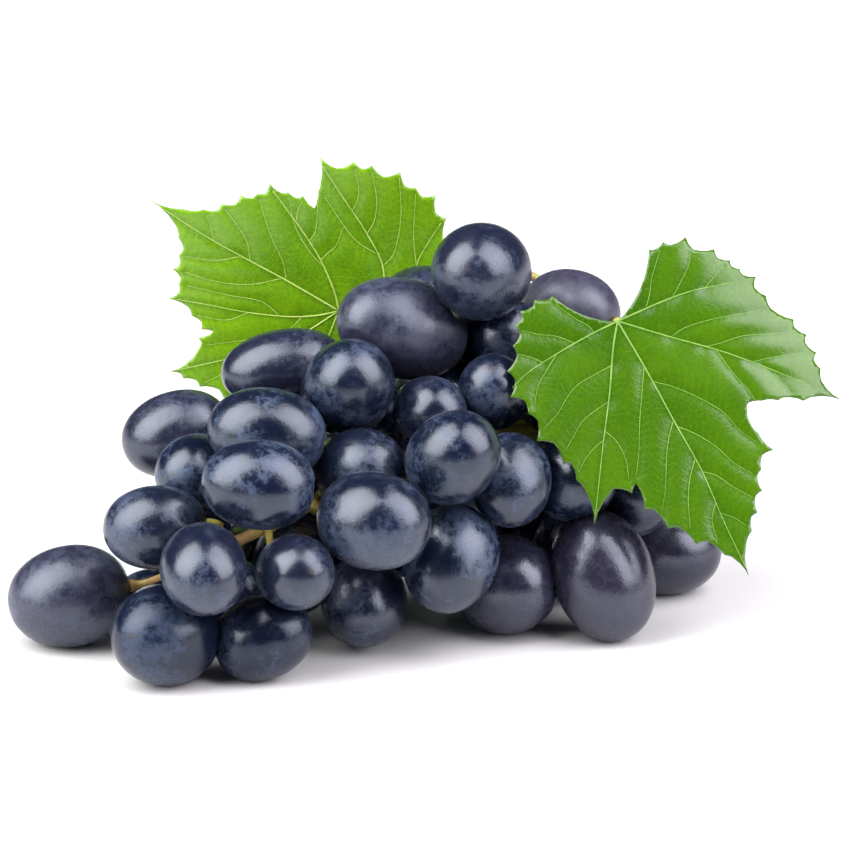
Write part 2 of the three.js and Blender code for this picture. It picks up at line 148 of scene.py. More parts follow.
# Leaves: the outlines and stalks of the part's source, with veins added. Teeth and veins are measured from
# the head of the stalk. The first tooth of the left leaf is shorter here, to stay clear of a berry. A tooth
# may give the depth of the notch after it. A bend has a direction, a start and a strength, and cleft_bow is
# how far the two edges of the cleft at the stalk bow into the blade.
NOTCH_SHARE = 0.3
NOTCH_MOST = 2
RIGHT_LEAF = {
    "name": "leaf_right",
    "head": (42.2, 67.8, 17.5),
    "lean": -0.12,
    "curl": (0.003, 0),
    "bend": (math.radians(30), 15, -0.014),
    "relief": 1,
    "cleft_bow": (math.radians(22), math.radians(22)),
    "teeth": [
        (-14.3, 5.6), (-18.2, 4.7), (-21.4, 2.2), (-22.5, -0.9), (-23, -5.4), (-24.3, -10.9),
        (-23.6, -16.7), (-19.6, -20.2), (-17.8, -26.3), (-12, -30.8), (-9.1, -34.7, 2), (-5.2, -44.7, 4.5),
        (3.1, -37.6, 4),
        (5.8, -41.2), (10.9, -45.4), (17.1, -48.8), (23.4, -51.2), (28.7, -55.9, 2), (29.3, -45.8),
        (30.5, -41.9), (31.6, -37.1), (31.4, -32.5), (34.1, -28.2, 0.8), (28.8, -21.8, 0.3),
        (28.5, -17.9, 0.4), (35.2, -17.3), (40.8, -17.4), (48.8, -17.1, 2), (44.5, -10.4), (43.6, -6.9),
        (41.4, -2.9), (38.6, 0.4), (32.5, 5.6), (30.3, 9.8), (26.7, 11.5), (24.7, 13.4), (21.2, 15.8),
        (14.9, 18.5), (10, 17.4), (6.9, 15.8),
    ],
    "stalk": [(42.2, 67.4, 17.1), (51, 67, 2), (61, 58, -11), (63, 45, -17.4)],
    "main_veins": [
        [(0, 0), (9.5, 4.2), (16.1, 6.6), (22.7, 8), (29.4, 9.3)],
        [(0, 0), (11.7, -3.5), (21.6, -6.2), (31.5, -9.7), (40.3, -13.4), (47.2, -16.6)],
        [(0, 0), (6.2, -10.6), (12.8, -22.7), (18.3, -32.6), (23.1, -43.6), (28, -54)],
        [(0, 0), (-0.9, -5.1), (-1.8, -16.1), (-3.1, -26), (-4.2, -35.9), (-5, -43)],
        [(0, 0), (-5.9, -2.9), (-13.6, -7.3), (-20.2, -11.7), (-23, -14.6)],
    ],
    "side_veins": [
        [(6.2, 2.8), (7, 6), (7.5, 9.5), (9.4, 15.8)],
        [(12, 5.2), (14, 9), (15.6, 12.4), (16, 16)],
        [(19, 7.2), (21.4, 10), (23.4, 12.6)],
        [(11.7, -3.5), (14.5, -1.5), (21.3, 0.6), (26.8, 1.6), (31.6, 2.4), (35.4, 2)],
        [(18.9, -5.6), (22.4, -4.8), (27.3, -3.2), (33.2, -2.8), (39, -2.4)],
        [(29.3, -8.9), (35.6, -7.6), (42, -6.8)],
        [(21.5, -6.2), (25.3, -11.4), (28.2, -14.6), (30.6, -18)],
        [(31.5, -9.7), (35.4, -13), (38.2, -16.2)],
        [(5.8, -9.8), (5.2, -17), (4.8, -22), (4.6, -28.8), (4, -34)],
        [(7.6, -13.2), (11.7, -14.2), (18.5, -17.1), (23.3, -20.1), (26.8, -24), (30.6, -26.6)],
        [(12.2, -21.6), (11, -26.4), (10.6, -31.2), (10.4, -36.6), (9.6, -42)],
        [(13, -23), (16.5, -24.4), (21.3, -27.3), (25.7, -31.2), (29.6, -33.4)],
        [(16.9, -30.2), (15.8, -34.3), (15.4, -38.7), (15.8, -45.4)],
        [(18.4, -32.9), (21.4, -33.7), (25.3, -36.3), (29.6, -38.6)],
        [(21.4, -39.6), (20.6, -43.6), (21.8, -48)],
        [(22.4, -42), (25.4, -43), (28, -44.6)],
        [(-1.2, -9.6), (-5, -11.7), (-9, -14.1), (-11.4, -17.2), (-13, -20), (-16.6, -24)],
        [(-2, -17.6), (-6.2, -20.5), (-8.1, -22.4), (-9.5, -24.9), (-11.6, -28.6)],
        [(-3.1, -26), (-5, -27.6), (-7, -30), (-8.4, -32.8)],
        [(-2.8, -24), (-0.2, -26.4), (1.8, -30.4), (2.4, -34.8)],
        [(-5.1, -2.5), (-6.6, -0.9), (-9.5, 0.7), (-13.6, 3.8)],
        [(-9.5, -4.8), (-13.4, -3.3), (-17, -2.9), (-21, -2)],
        [(-13.4, -7.2), (-15.8, -11.2), (-17.4, -14.1), (-18.2, -18.4)],
        [(-16.4, -9), (-19.4, -7.8), (-22, -7.2)],
    ],
}
LEFT_LEAF = {
    "name": "leaf_left",
    "head": (-19.1, 70.4, -34),
    "lean": 0.3,
    "curl": (-0.002, -0.002),
    "bend": (0, 0, 0),
    "relief": 0.65,
    "cleft_bow": (math.radians(22), math.radians(-40)),
    "teeth": [
        (15.3, -8.2), (22.4, -4.1), (26.5, 2), (27.5, 8.2), (25.5, 14.3), (23.8, 20.4), (21.5, 25.6),
        (17.2, 27.1), (13.7, 30.7), (7.4, 32.1), (3.4, 32.9), (-4.1, 33.9, 2), (-4.5, 26.5, 3.4),
        (-7.9, 25.4), (-11.2, 26.2), (-15.3, 28.3), (-18.2, 25.8), (-21.7, 25.6), (-26, 23.6),
        (-29.9, 22.4), (-42.2, 24.7, 3), (-35.5, 16.1), (-35.5, 12.3), (-36.8, 9.2), (-35.5, 6),
        (-37.7, 2.7), (-32.7, -1.1),
        (-30.5, -4.1, 3), (-31.2, -6), (-31.4, -8.6), (-37.7, -13.5), (-34.6, -15), (-31, -16.8),
        (-25.5, -20.2), (-22.4, -24.5), (-17.3, -27.5), (-11.2, -28.6), (-5.1, -26.5), (0, -23.5),
    ],
    "stalk": [
        (-19.1, 70, -34.2), (-2, 75, -36), (17, 80, -36), (37, 70, -45), (55, 54, -32), (61, 44, -20.6),
    ],
    "main_veins": [
        [(0, 0), (-12.1, 7), (-21.6, 12.1), (-29.3, 16.4), (-40, 23.3)],
        [(0, 0), (-0.7, 3.3), (-3.7, 10.6), (-7, 16.1), (-14.6, 26.6)],
        [(0, 0), (-4, -0.9), (-10.6, -1.3), (-19.8, -0.4), (-29.3, 1.4), (-36, 2.6)],
        [(0, 0), (6, 1.6), (9.6, 4.6), (9.7, 9.9), (5.9, 17.6), (1.5, 24.2), (-3.6, 32)],
        [(0, 0), (-8, -5), (-18, -9), (-28, -11.4), (-36, -13.1)],
        [(0, 0), (-4, -10), (-8, -19), (-11, -27)],
        [(0, 0), (8, 1.5), (15, 5), (18, 12), (22.6, 19.4)],
        [(0, 0), (9, -1), (18, -2.6), (21.4, -3.6)],
    ],
    "side_veins": [
        [(-11.7, 6.8), (-12.3, 10.6), (-15, 16.5), (-17.6, 24.6)],
        [(-12.6, 7.2), (-19.4, 5.9), (-26.6, 6.4), (-34.2, 8.6)],
        [(-19.6, 11), (-20.4, 15.4), (-23, 19.6), (-25.2, 22.4)],
        [(-21.6, 12.1), (-27, 11.2), (-34, 12)],
        [(-27.6, 15.4), (-28.4, 18.6), (-29.2, 21.4)],
        [(-4, 11.2), (-2.4, 12.8), (-0.7, 14.3), (1, 18.6)],
        [(-3.4, 9.8), (-6.4, 13), (-9.6, 18.6), (-11, 25)],
        [(-6.6, 15.4), (-5.3, 17.2), (-4.8, 21), (-4.8, 25.4)],
        [(-9.4, 19.8), (-9, 22.4), (-8, 24.4)],
        [(-8, -1.2), (-12, -4.8), (-18, -6), (-29.6, -7.6)],
        [(-13, -1.2), (-17, 2), (-24, 3.4), (-33.6, 5.6)],
        [(-20, -0.4), (-25, -2), (-31.4, -1)],
        [(9.7, 9.9), (11.9, 12.1), (13.2, 16.5), (13.8, 22), (13.4, 29.4)],
        [(6.2, 17), (7.7, 19.4), (8.4, 24), (7.4, 30.8)],
        [(8.4, 12.6), (4, 15.4), (0.6, 19.6), (-3, 25)],
        [(3, 22), (4.4, 25.6), (3.6, 31.4)],
        [(17.2, 9.8), (16.6, 16), (17, 25.8)],
        [(-12, -6.8), (-16, -12), (-20, -16), (-24.4, -19.4)],
        [(-20, -9.6), (-25, -13.4), (-30, -16)],
    ],
}

rng = np.random.default_rng(SEED)


def turned(points):
    """Picture directions, in millimetres, as directions of the row frame, in metres."""
    x, y, z = np.moveaxis(np.asarray(points, float), -1, 0)
    return np.stack([x, y * SIN - z * COS, y * COS + z * SIN], -1) * MM


def world(points):
    return turned(points) - np.array([ORIGIN_X, ORIGIN_Y, 0]) * MM


def unit(v):
    return v / np.linalg.norm(v)


def lerp(a, b, t):
    return a + (b - a) * t


def smooth(low, high, x):
    t = np.clip((x - low) / (high - low), 0, 1)
    return t * t * (3 - 2 * t)


class Line:
    """A smooth line through points, run along by its length."""

    DIVISIONS = 200

    def __init__(self, points):
        self.points = [np.array(p, float) for p in points]
        shares = np.linspace(0, 1, self.DIVISIONS + 1)
        samples = np.array([self._point(t) for t in shares])
        steps = np.linalg.norm(np.diff(samples, axis=0), axis=1)
        self.lengths = np.concatenate([[0], np.cumsum(steps)])
        self.shares = shares

    def _point(self, t):
        p = self.points
        n = len(p)
        q = (n - 1) * t
        i = min(int(q), n - 2)
        w = q - i
        p1, p2 = p[i], p[i + 1]
        p0 = p[i - 1] if i > 0 else 2 * p[0] - p[1]
        p3 = p[i + 2] if i + 2 < n else 2 * p[-1] - p[-2]
        d0, d1, d2 = (max(((a - b) @ (a - b)) ** 0.25, 1e-4) for a, b in ((p0, p1), (p1, p2), (p2, p3)))
        t1 = ((p1 - p0) / d0 - (p2 - p0) / (d0 + d1) + (p2 - p1) / d1) * d1
        t2 = ((p2 - p1) / d1 - (p3 - p1) / (d1 + d2) + (p3 - p2) / d2) * d1
        return p1 + t1 * w + (3 * (p2 - p1) - 2 * t1 - t2) * w**2 + (2 * (p1 - p2) + t1 + t2) * w**3

    def at(self, share):
        return self._point(float(np.interp(share * self.lengths[-1], self.lengths, self.shares)))

    def tangent(self, share):
        return unit(self.at(min(1, share + 1e-4)) - self.at(max(0, share - 1e-4)))

    def spaced(self, steps):
        return np.array([self.at(i / steps) for i in range(steps + 1)])


stem_line = Line(STEM_POINTS)
stem_points = stem_line.spaced(STEM_SAMPLES)


def nearest_on_stem(point):
    return int(np.argmin(((stem_points - point) ** 2).sum(1)))


def from_stem(point):
    return point - stem_points[nearest_on_stem(point)]


class Berry:
    def __init__(self, middle, axis, half_length, half_width, freedom):
        self.middle = np.array(middle, float)
        self.axis = axis
        self.half_length = half_length
        self.half_width = half_width
        self.freedom = np.array(freedom, float)
        self.hidden = freedom[0] > 0

    def radius(self, way):
        c = way @ self.axis
        return 1 / math.sqrt(c**2 / self.half_length**2 + (1 - c**2) / self.half_width**2)

    def gap(self, other):
        way = other.middle - self.middle
        distance = math.sqrt(way @ way)
        way = way / distance
        return way, distance - self.radius(way) - other.radius(way)

    def raise_to_table(self):
        c = UP @ self.axis
        half_height = math.sqrt((c * self.half_length) ** 2 + (1 - c**2) * self.half_width**2)
        self.middle = self.middle + UP * max(0, -(UP @ self.middle - half_height + FLAT))

    def pull_to_stem(self, step):
        way = -from_stem(self.middle)
        if self.hidden:
            way = way - UP * max(0, way @ UP)
        way = way * self.freedom
        length = math.sqrt(way @ way)
        if length > step:
            self.middle = self.middle + way * (step / length)

    def push_off_stem(self):
        way = from_stem(self.middle)
        distance = math.sqrt(way @ way)
        way = way / distance
        gap = distance - STEM_ROOM - self.radius(way)
        way = way * self.freedom
        if gap < 0 and way @ way > LEAST_FREEDOM:
            self.middle = self.middle - way * (gap / (way @ way))


def seen_berry(row, freedom):
    x, y, z, seen_length, half_width, turn = row[:6]
    half_length = max(row[6] if len(row) > 6 else seen_length, LEAST_RATIO * half_width)
    share = (seen_length**2 - half_width**2) / (half_length**2 - half_width**2)
    across = math.sqrt(share)
    deep = math.sqrt(max(0, 1 - share)) * np.sign(from_stem(np.array([x, y, z], float))[2])
    axis = np.array([across * math.cos(math.radians(turn)), across * math.sin(math.radians(turn)), deep])
    return Berry((x, y, z), axis, half_length, half_width, freedom)


def hidden_berry(middle, axis, half_width):
    berry = Berry(middle, axis, LEAST_RATIO * half_width, half_width, (1, 1, 1))
    berry.raise_to_table()
    return berry


def seeded_draws(state=SEED):
    while True:
        state = state * DRAW_FACTOR % DRAW_MODULUS
        yield state / DRAW_MODULUS


def add_layer(berries, draws, reach, low, high, step):
    for ring in range(RINGS):
        share = (ring + 0.5) / RINGS * RINGS_TO
        root = stem_line.at(share)
        behind = unit(np.cross(UP, stem_line.tangent(share)))
        distance = lerp(*reach, min(1, share / SHOULDER_AT))
        angle = low + (ring % 2) * step * 0.5
        while angle <= high:
            axis = behind * math.cos(math.radians(angle)) + UP * math.sin(math.radians(angle))
            berry = hidden_berry(root + axis * distance, axis, lerp(*HIDDEN_HALF_WIDTH, next(draws)))
            off_stem = np.linalg.norm(from_stem(berry.middle)) > STEM_ROOM + berry.half_width
            if off_stem and all(berry.gap(other)[1] > -CROWDING for other in berries):
                berries.append(berry)
            angle += step


def push_apart(a, b):
    way, gap = a.gap(b)
    way_a = way * a.freedom
    way_b = way * b.freedom
    freedom = way_a @ way_a + way_b @ way_b
    if gap + PRESS < 0 and freedom >= LEAST_FREEDOM:
        push = min(-(gap + PRESS) / freedom, PUSH)
        a.middle = a.middle - way_a * push
        b.middle = b.middle + way_b * push


def settle(berries):
    for turn in range(ROUNDS):
        for berry in berries:
            berry.pull_to_stem(PULL * (1 - turn / ROUNDS))
        for _ in range(SWEEPS):
            middles = np.array([berry.middle for berry in berries])
            apart = np.linalg.norm(middles[:, None] - middles[None], axis=2)
            for i, j in np.argwhere(np.tril(apart < NEIGHBOUR, -1)):
                push_apart(berries[i], berries[j])
            for berry in berries:
                if berry.hidden:
                    berry.raise_to_table()
            for berry in berries:
                berry.push_off_stem()


def make_berries():
    berries = [seen_berry(row, (0, 0, 0)) for row in RESTING_BERRIES]
    berries += [seen_berry(row, (0, 0, 1)) for row in FRONT_BERRIES]
    for x, y, z, half_width in GAP_BERRIES:
        middle = np.array([x, y, z], float)
        berries.append(hidden_berry(middle, unit(from_stem(middle)), half_width))
    draws = seeded_draws()
    add_layer(berries, draws, **INNER_LAYER)
    add_layer(berries, draws, **OUTER_LAYER)
    settle(berries)
    return berries


# Mesh pieces


def new_object(name, vertices, faces, material, node, attributes=None, location=(0, 0, 0)):
    """A smooth mesh piece in the row frame that stands for a node of the part."""
    mesh = bpy.data.meshes.new(name)
    mesh.from_pydata([tuple(v) for v in vertices], [], [tuple(f) for f in faces])
    mesh.polygons.foreach_set("use_smooth", [True] * len(mesh.polygons))
    for key, values in (attributes or {}).items():
        layer = mesh.attributes.new(key, "FLOAT", "POINT")
        layer.data.foreach_set("value", np.asarray(values, np.float32))
    mesh.materials.append(material)
    mesh.update()
    obj = bpy.data.objects.new(name, mesh)
    obj.location = location
    bpy.context.collection.objects.link(obj)
    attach(obj, "root")
    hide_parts(node)
    return obj


def frame_about(axis):
    side = np.cross(axis, [0, 0, 1] if abs(axis[2]) < 0.9 else [1, 0, 0])
    side = unit(side)
    return side, np.cross(axis, side)


def tube(points, radii, sides):
    """Vertices and faces of a round tube along picture points, with one radius for each point."""
    points = np.asarray(points, float)
    tangents = np.gradient(points, axis=0)
    tangents /= np.linalg.norm(tangents, axis=1)[:, None]
    side, _ = frame_about(tangents[0])
    angles = np.arange(sides) * 2 * math.pi / sides
    vertices = []
    for point, tangent, radius in zip(points, tangents, radii):
        side = unit(side - tangent * (side @ tangent))
        other = np.cross(tangent, side)
        vertices.append(point + radius * (np.cos(angles)[:, None] * side + np.sin(angles)[:, None] * other))
    vertices = np.concatenate(vertices)
    faces = []
    for ring in range(len(points) - 1):
        for k in range(sides):
            a, b = ring * sides + k, ring * sides + (k + 1) % sides
            faces.append((a, b, b + sides, a + sides))
    faces.append(tuple(range(sides))[::-1])
    last = (len(points) - 1) * sides
    faces.append(tuple(last + k for k in range(sides)))
    return vertices, faces


def joined(shells):
    vertices = []
    faces = []
    start = 0
    for v, f in shells:
        vertices.append(v)
        faces += [tuple(start + i for i in face) for face in f]
        start += len(v)
    return np.concatenate(vertices), faces


# Berries

BERRY_SEGMENTS = 48
BERRY_RINGS = 30
BARREL = 0.95  # under 1 fills out the ellipsoid between its ends and its middle
EGG = 0.03
ROOT_DIMPLE = 0.05  # share of the half length
ROOT_DIMPLE_WIDTH = 0.16  # share of the half width
CONTACT_GAP = 0.03
TABLE_GAP = 0.02


def berry_shape(berry, berries):
    """Vertices about the berry's middle and faces, pressed flat against the table and its neighbours."""
    theta = np.linspace(0, math.pi, BERRY_RINGS + 1)[1:-1]
    phi = np.arange(BERRY_SEGMENTS) * 2 * math.pi / BERRY_SEGMENTS
    width = np.sin(theta) ** BARREL * (1 - EGG * np.cos(theta))
    along = np.sign(np.cos(theta)) * np.abs(np.cos(theta)) ** BARREL
    along = along + ROOT_DIMPLE * np.exp(-((width / ROOT_DIMPLE_WIDTH) ** 2)) * (along < 0)
    ring = np.stack([np.cos(phi), np.sin(phi)], -1)
    local = np.zeros((len(theta), BERRY_SEGMENTS, 3))
    local[..., :2] = width[:, None, None] * ring[None] * berry.half_width
    local[..., 2] = along[:, None] * berry.half_length
    poles = [[0, 0, berry.half_length], [0, 0, -berry.half_length * (1 - ROOT_DIMPLE)]]
    local = np.concatenate([local.reshape(-1, 3), poles])
    tip = np.linalg.norm(local - poles[0], axis=1)
    root = np.linalg.norm(local - poles[1], axis=1)
    side, other = frame_about(berry.axis)
    shape = local @ np.array([side, other, berry.axis])
    for near in berries:
        if near is berry:
            continue
        way, gap = berry.gap(near)
        if gap < 0:
            over = shape @ way - (berry.radius(way) + gap / 2 - CONTACT_GAP)
            shape = shape - np.clip(over, 0, None)[:, None] * way
    low = (berry.middle + shape) @ UP - TABLE_GAP
    shape = shape - np.minimum(low, 0)[:, None] * UP
    faces = []
    n = BERRY_SEGMENTS
    for r in range(len(theta) - 1):
        for k in range(n):
            a, b = r * n + k, r * n + (k + 1) % n
            faces.append((a, a + n, b + n, b))
    first, last = len(local) - 2, len(local) - 1
    for k in range(n):
        faces.append((first, k, (k + 1) % n))
        end = (len(theta) - 1) * n
        faces.append((last, end + (k + 1) % n, end + k))
    return shape, faces, tip, root


# Berries with less shine, with a given bloom, and smoother, more purple ones, by their place in the list.
# The lesser shine and the low bloom of berries 2 and 3 are painted shade, standing in for the shade of the
# berries above them.
SHADE_DULLED_BERRIES = {2, 3}
BLOOM = {
    0: 1.6, 2: 0.55, 3: 0.5, 4: 1.0, 11: 1.1, 12: 0.9, 15: 1.8, 17: 1.0, 18: 3.0, 23: 0.6, 24: 0.7, 25: 0.8,
}
PURPLE_BERRIES = {0: 0.65, 5: 0.7, 6: 0.9, 7: 0.9, 9: 0.5, 13: 0.4, 15: 0.65, 17: 0.3, 18: 1.0}
OTHER_BLOOM = (0.6, 1.0)
OTHER_PURPLE = (0, 0.25)
BLOOM_LOST_TO_PURPLE = 0.55


def add_berries(berries, glossy, dull):
    for i, berry in enumerate(berries):
        shape, faces, tip, root = berry_shape(berry, berries)
        # The berries under others take the skin with less shine, as painted shade
        obj = new_object(
            f"berry_{i:02d}",
            turned(shape),
            faces,
            dull if i in SHADE_DULLED_BERRIES else glossy,
            "berries",
            {"tip_mm": tip, "root_mm": root},
            world(berry.middle),
        )
        bloom = BLOOM.get(i, rng.uniform(*OTHER_BLOOM))
        purple = PURPLE_BERRIES.get(i, rng.uniform(*OTHER_PURPLE))
        # The material reads the bloom, the purple and a shift of its noise from the object's colour
        obj.color = (bloom * (1 - BLOOM_LOST_TO_PURPLE * purple), purple, rng.uniform(0, 1), 1)


# Stem

STEM_STEPS = 120
STEM_SIDES = 16
STEM_TIP_RADIUS = 1.0
STEM_CUT_RADIUS = 2.4
STEM_CUT_RINGS = ((0.25, 1), (0.05, 0.93), (0.01, 0.55), (0, 0.1))  # back from the cut, and share of radius
STEM_LEAST_GAP = 0.1  # between the stem and the room that berries leave it
KNOT_SWELL = 0.12
KNOT_LENGTH = 0.012  # share of the stem
RIPPLE = 0.05
RIPPLE_RATES = (90, 37)
STALK_STEPS = 14
STALK_SIDES = 10
STALK_RADIUS = 0.75
STALK_NECK = STALK_STRAIGHT + 0.5
STALK_ROOM = 1.2
FOOT_SWELL = 0.5
FOOT_FADE = 8
STALK_HEAD_RADIUS = 1.75
STALK_HEAD_REACH = 1.7
STALK_END_SHARE = 0.8
# How far back from the berry, and radius there, of a stalk of which only the head is made
STUB = ((3.4, 0.4), (2.6, 0.75), (1.8, 1.0), (1.1, 1.6), (0.5, 1.75), (0, 1.4))
STUB_ROOM = 1.4


def clear_of_berries(points, berry, berries, room):
    for other in berries:
        ways = points - other.middle
        distances = np.linalg.norm(ways, axis=1)
        need = 0 if other is berry else room
        if any(d < other.radius(way / d) + need for way, d in zip(ways, distances)):
            return False
    return True


def stalk_shell(berry, berries):
    """The berry's own stalk from the stem, or only its swollen head where the way is blocked."""
    pole = berry.middle - berry.axis * berry.half_length * (1 - ROOT_DIMPLE)
    neck = pole - berry.axis * STALK_NECK
    root = stem_points[min(nearest_on_stem(berry.middle) + STALK_SLANT, STEM_SAMPLES)]
    points = Line([root, neck, pole]).spaced(STALK_STEPS)
    if clear_of_berries(points[:-1], berry, berries, STALK_ROOM):
        t = np.linspace(0, 1, STALK_STEPS + 1)
        length = np.linalg.norm(np.diff(points, axis=0), axis=1).sum()
        back = (1 - t) * length
        head = (STALK_HEAD_RADIUS - STALK_RADIUS) * np.exp(-((back / STALK_HEAD_REACH) ** 2))
        radii = STALK_RADIUS + FOOT_SWELL * np.exp(-t * FOOT_FADE) + head
        radii[-1] *= STALK_END_SHARE
        return tube(points, radii, STALK_SIDES)
    points = np.array([pole - berry.axis * back for back, _ in STUB])
    if clear_of_berries(points[:-1], berry, berries, STUB_ROOM):
        return tube(points, [radius for _, radius in STUB], STALK_SIDES)
    return None


def add_stem(berries, material):
    points = stem_line.spaced(STEM_STEPS)
    t = np.linspace(0, 1, STEM_STEPS + 1)
    radii = lerp(STEM_TIP_RADIUS, STEM_CUT_RADIUS, t)
    for berry in berries:
        at = (nearest_on_stem(berry.middle) + STALK_SLANT) / STEM_SAMPLES
        radii = radii * (1 + KNOT_SWELL * np.exp(-(((t - at) / KNOT_LENGTH) ** 2)))
    radii = radii * (1 + RIPPLE * np.sin(t * RIPPLE_RATES[0]) * np.sin(t * RIPPLE_RATES[1]))
    radii = np.minimum(radii, STEM_ROOM - STEM_LEAST_GAP)
    cut = points[-1]
    along = unit(cut - points[-2])
    points = np.concatenate([points[:-1], [cut - along * back for back, _ in STEM_CUT_RINGS]])
    radii = np.concatenate([radii[:-1], [radii[-1] * share for _, share in STEM_CUT_RINGS]])
    shells = [tube(points, radii, STEM_SIDES)]
    shells += [shell for shell in (stalk_shell(berry, berries) for berry in berries) if shell]
    vertices, faces = joined(shells)
    to_cut = np.linalg.norm(vertices - cut, axis=1)
    new_object("stem", world(vertices), faces, material, "stem", {"to_cut_mm": to_cut})


# Leaves

LEAF_THICKNESS = 0.28
GRID = 0.85
GRID_TO_EDGE = 0.45  # least distance of a grid point from the edge, in steps of the grid
POINT_ROOM = 0.3  # least distance of grid points from veins, and of points on veins from the edge
SAME_POINT = 1e-4
CLEFT_STEPS = 8
FLANK_HOLLOW = 0.3
FLANK_SHARES = (0, 1 / 3, 2 / 3)
LADDER_SLANT = 0.4
LADDER_SHIFT = 0.77
LADDER_FADE = 1.2
MAIN_PANEL = (0.5, 4.5)  # height of the blade between veins, and how far from them it is reached
SIDE_PANEL = (0.28, 1.8)
MAIN_GROOVE = (0.12, 0.8)  # depth and reach of the groove along a vein
SIDE_GROOVE = (0.1, 0.6)
WAVE = 0.55
WAVES = 5
WAVE_SHIFT = 1
WAVE_GROWS = (15, 45)  # distances from the head of the stalk
MAIN_STEPS = 40
SIDE_STEPS = 20
MAIN_RADII = (0.24, 0.08)
SIDE_RADII = (0.1, 0.05)
VEIN_SIDES = 6
STALK_SUNK = 0.6  # share of the way from a leaf stalk's end to the stem's middle line
LEAF_STALK_STEPS = 60
LEAF_STALK_SIDES = 14
LEAF_STALK_RADIUS = 1.05
LEAF_STALK_HEAD = (0.25, 14)  # how much thicker the stalk is at the leaf, and how fast that fades
LEAF_STALK_FOOT = (0.45, 16)


def leaf_outline(teeth, cleft_bow):
    """The toothed edge, with two points on each flank of a tooth, and the two edges of the cleft."""
    corners = []
    for i, tooth in enumerate(teeth):
        point = np.array(tooth[:2], float)
        corners.append(point)
        if i + 1 < len(teeth):
            after = np.array(teeth[i + 1][:2], float)
            notch = min(NOTCH_SHARE * np.linalg.norm(after - point), NOTCH_MOST)
            if len(tooth) > 2:
                notch = tooth[2]
            middle = (point + after) / 2
            corners.append(middle * (1 - notch / np.linalg.norm(middle)))
    edge = []
    for a, b in zip(corners, corners[1:]):
        along = b - a
        normal = np.array([along[1], -along[0]])
        for share in FLANK_SHARES:
            edge.append(a + along * share - normal * FLANK_HOLLOW * share * (1 - share))
    edge.append(corners[-1])
    shares = np.linspace(0, 1, CLEFT_STEPS + 1)
    start = [cleft_point(corners[0], share, cleft_bow[0]) for share in shares[:-1]]
    end = [cleft_point(corners[-1], share, -cleft_bow[1]) for share in shares[-2:0:-1]]
    return start, edge, end


def cleft_point(corner, share, bow):
    angle = bow * (1 - share)
    x, y = corner * share
    return np.array([x * math.cos(angle) - y * math.sin(angle), x * math.sin(angle) + y * math.cos(angle)])


def along_line(points, line):
    """The distance from each point to a line of points, and how far along the line its nearest place is."""
    best = np.full(len(points), 1e9)
    place = np.zeros(len(points))
    start = 0
    for a, b in zip(line, line[1:]):
        along = b - a
        length = np.linalg.norm(along)
        t = np.clip((points - a) @ along / length**2, 0, 1)
        distance = np.linalg.norm(points - a - t[:, None] * along, axis=1)
        nearer = distance < best
        best[nearer] = distance[nearer]
        place[nearer] = start + t[nearer] * length
        start += length
    return best, place


def distance_to_lines(points, lines):
    return np.min([along_line(points, line)[0] for line in lines], axis=0)


def ladder(points, veins):
    """Where each point is along its nearest vein, and how clearly that vein is nearer than the next one."""
    found = [along_line(points, vein) for vein in veins]
    distances = np.array([distance for distance, _ in found])
    places = np.array([place for _, place in found])
    order = np.argsort(distances, axis=0)
    index = np.arange(len(points))
    nearest = distances[order[0], index]
    rung = places[order[0], index] + LADDER_SLANT * nearest + LADDER_SHIFT * order[0]
    return rung, np.clip((distances[order[1], index] - nearest) / LADDER_FADE, 0, 1)


def inside(points, polygon):
    x, y = points[:, 0], points[:, 1]
    result = np.zeros(len(points), bool)
    for (ax, ay), (bx, by) in zip(polygon, np.roll(polygon, -1, axis=0)):
        crosses = (ay > y) != (by > y)
        with np.errstate(divide="ignore", invalid="ignore"):
            result ^= crosses & (x < (bx - ax) * (y - ay) / (by - ay) + ax)
    return result


def vein_lines(veins, steps):
    lines = []
    for vein in veins:
        flat = [(x, y, 0) for x, y in vein]
        lines.append(Line(flat).spaced(steps)[:, :2])
    return lines


def bell(distance, height, reach):
    return height * np.exp(-((distance / reach) ** 2))


def leaf_height(leaf, points, to_main, to_side):
    """How far the blade's middle stands towards the viewer from the head of its stalk."""
    x, y = points[:, 0], points[:, 1]
    turn, start, bend = leaf["bend"]
    beyond = np.maximum(0, x * math.cos(turn) + y * math.sin(turn) - start)
    height = leaf["lean"] * y + np.where(x < 0, *leaf["curl"]) * x**2 + bend * beyond**2
    panels = MAIN_PANEL[0] - bell(to_main, *MAIN_PANEL) + SIDE_PANEL[0] - bell(to_side, *SIDE_PANEL)
    height = height + panels * leaf["relief"]
    waves = np.sin(WAVES * np.arctan2(y, x) + WAVE_SHIFT)
    height = height + WAVE * waves * smooth(*WAVE_GROWS, np.linalg.norm(points, axis=1))
    return height - bell(to_main, *MAIN_GROOVE) - bell(to_side, *SIDE_GROOVE)


def blade_points(outline, veins):
    """The outline, a grid inside it and the points of the veins."""
    ring = [np.vstack([outline, outline[:1]])]
    low, high = outline.min(0), outline.max(0)
    columns = np.arange(low[0], high[0], GRID)
    rows = np.arange(low[1], high[1], GRID * math.sqrt(3) / 2)
    grid = np.array([(x + (i % 2) * GRID / 2, y) for i, y in enumerate(rows) for x in columns])
    grid = grid[inside(grid, outline)]
    grid = grid[distance_to_lines(grid, ring) > GRID * GRID_TO_EDGE]
    grid = grid[distance_to_lines(grid, veins) > POINT_ROOM]
    on_veins = np.concatenate(veins)
    on_veins = on_veins[inside(on_veins, outline)]
    on_veins = on_veins[distance_to_lines(on_veins, ring) > POINT_ROOM]
    return np.concatenate([outline, grid, on_veins])


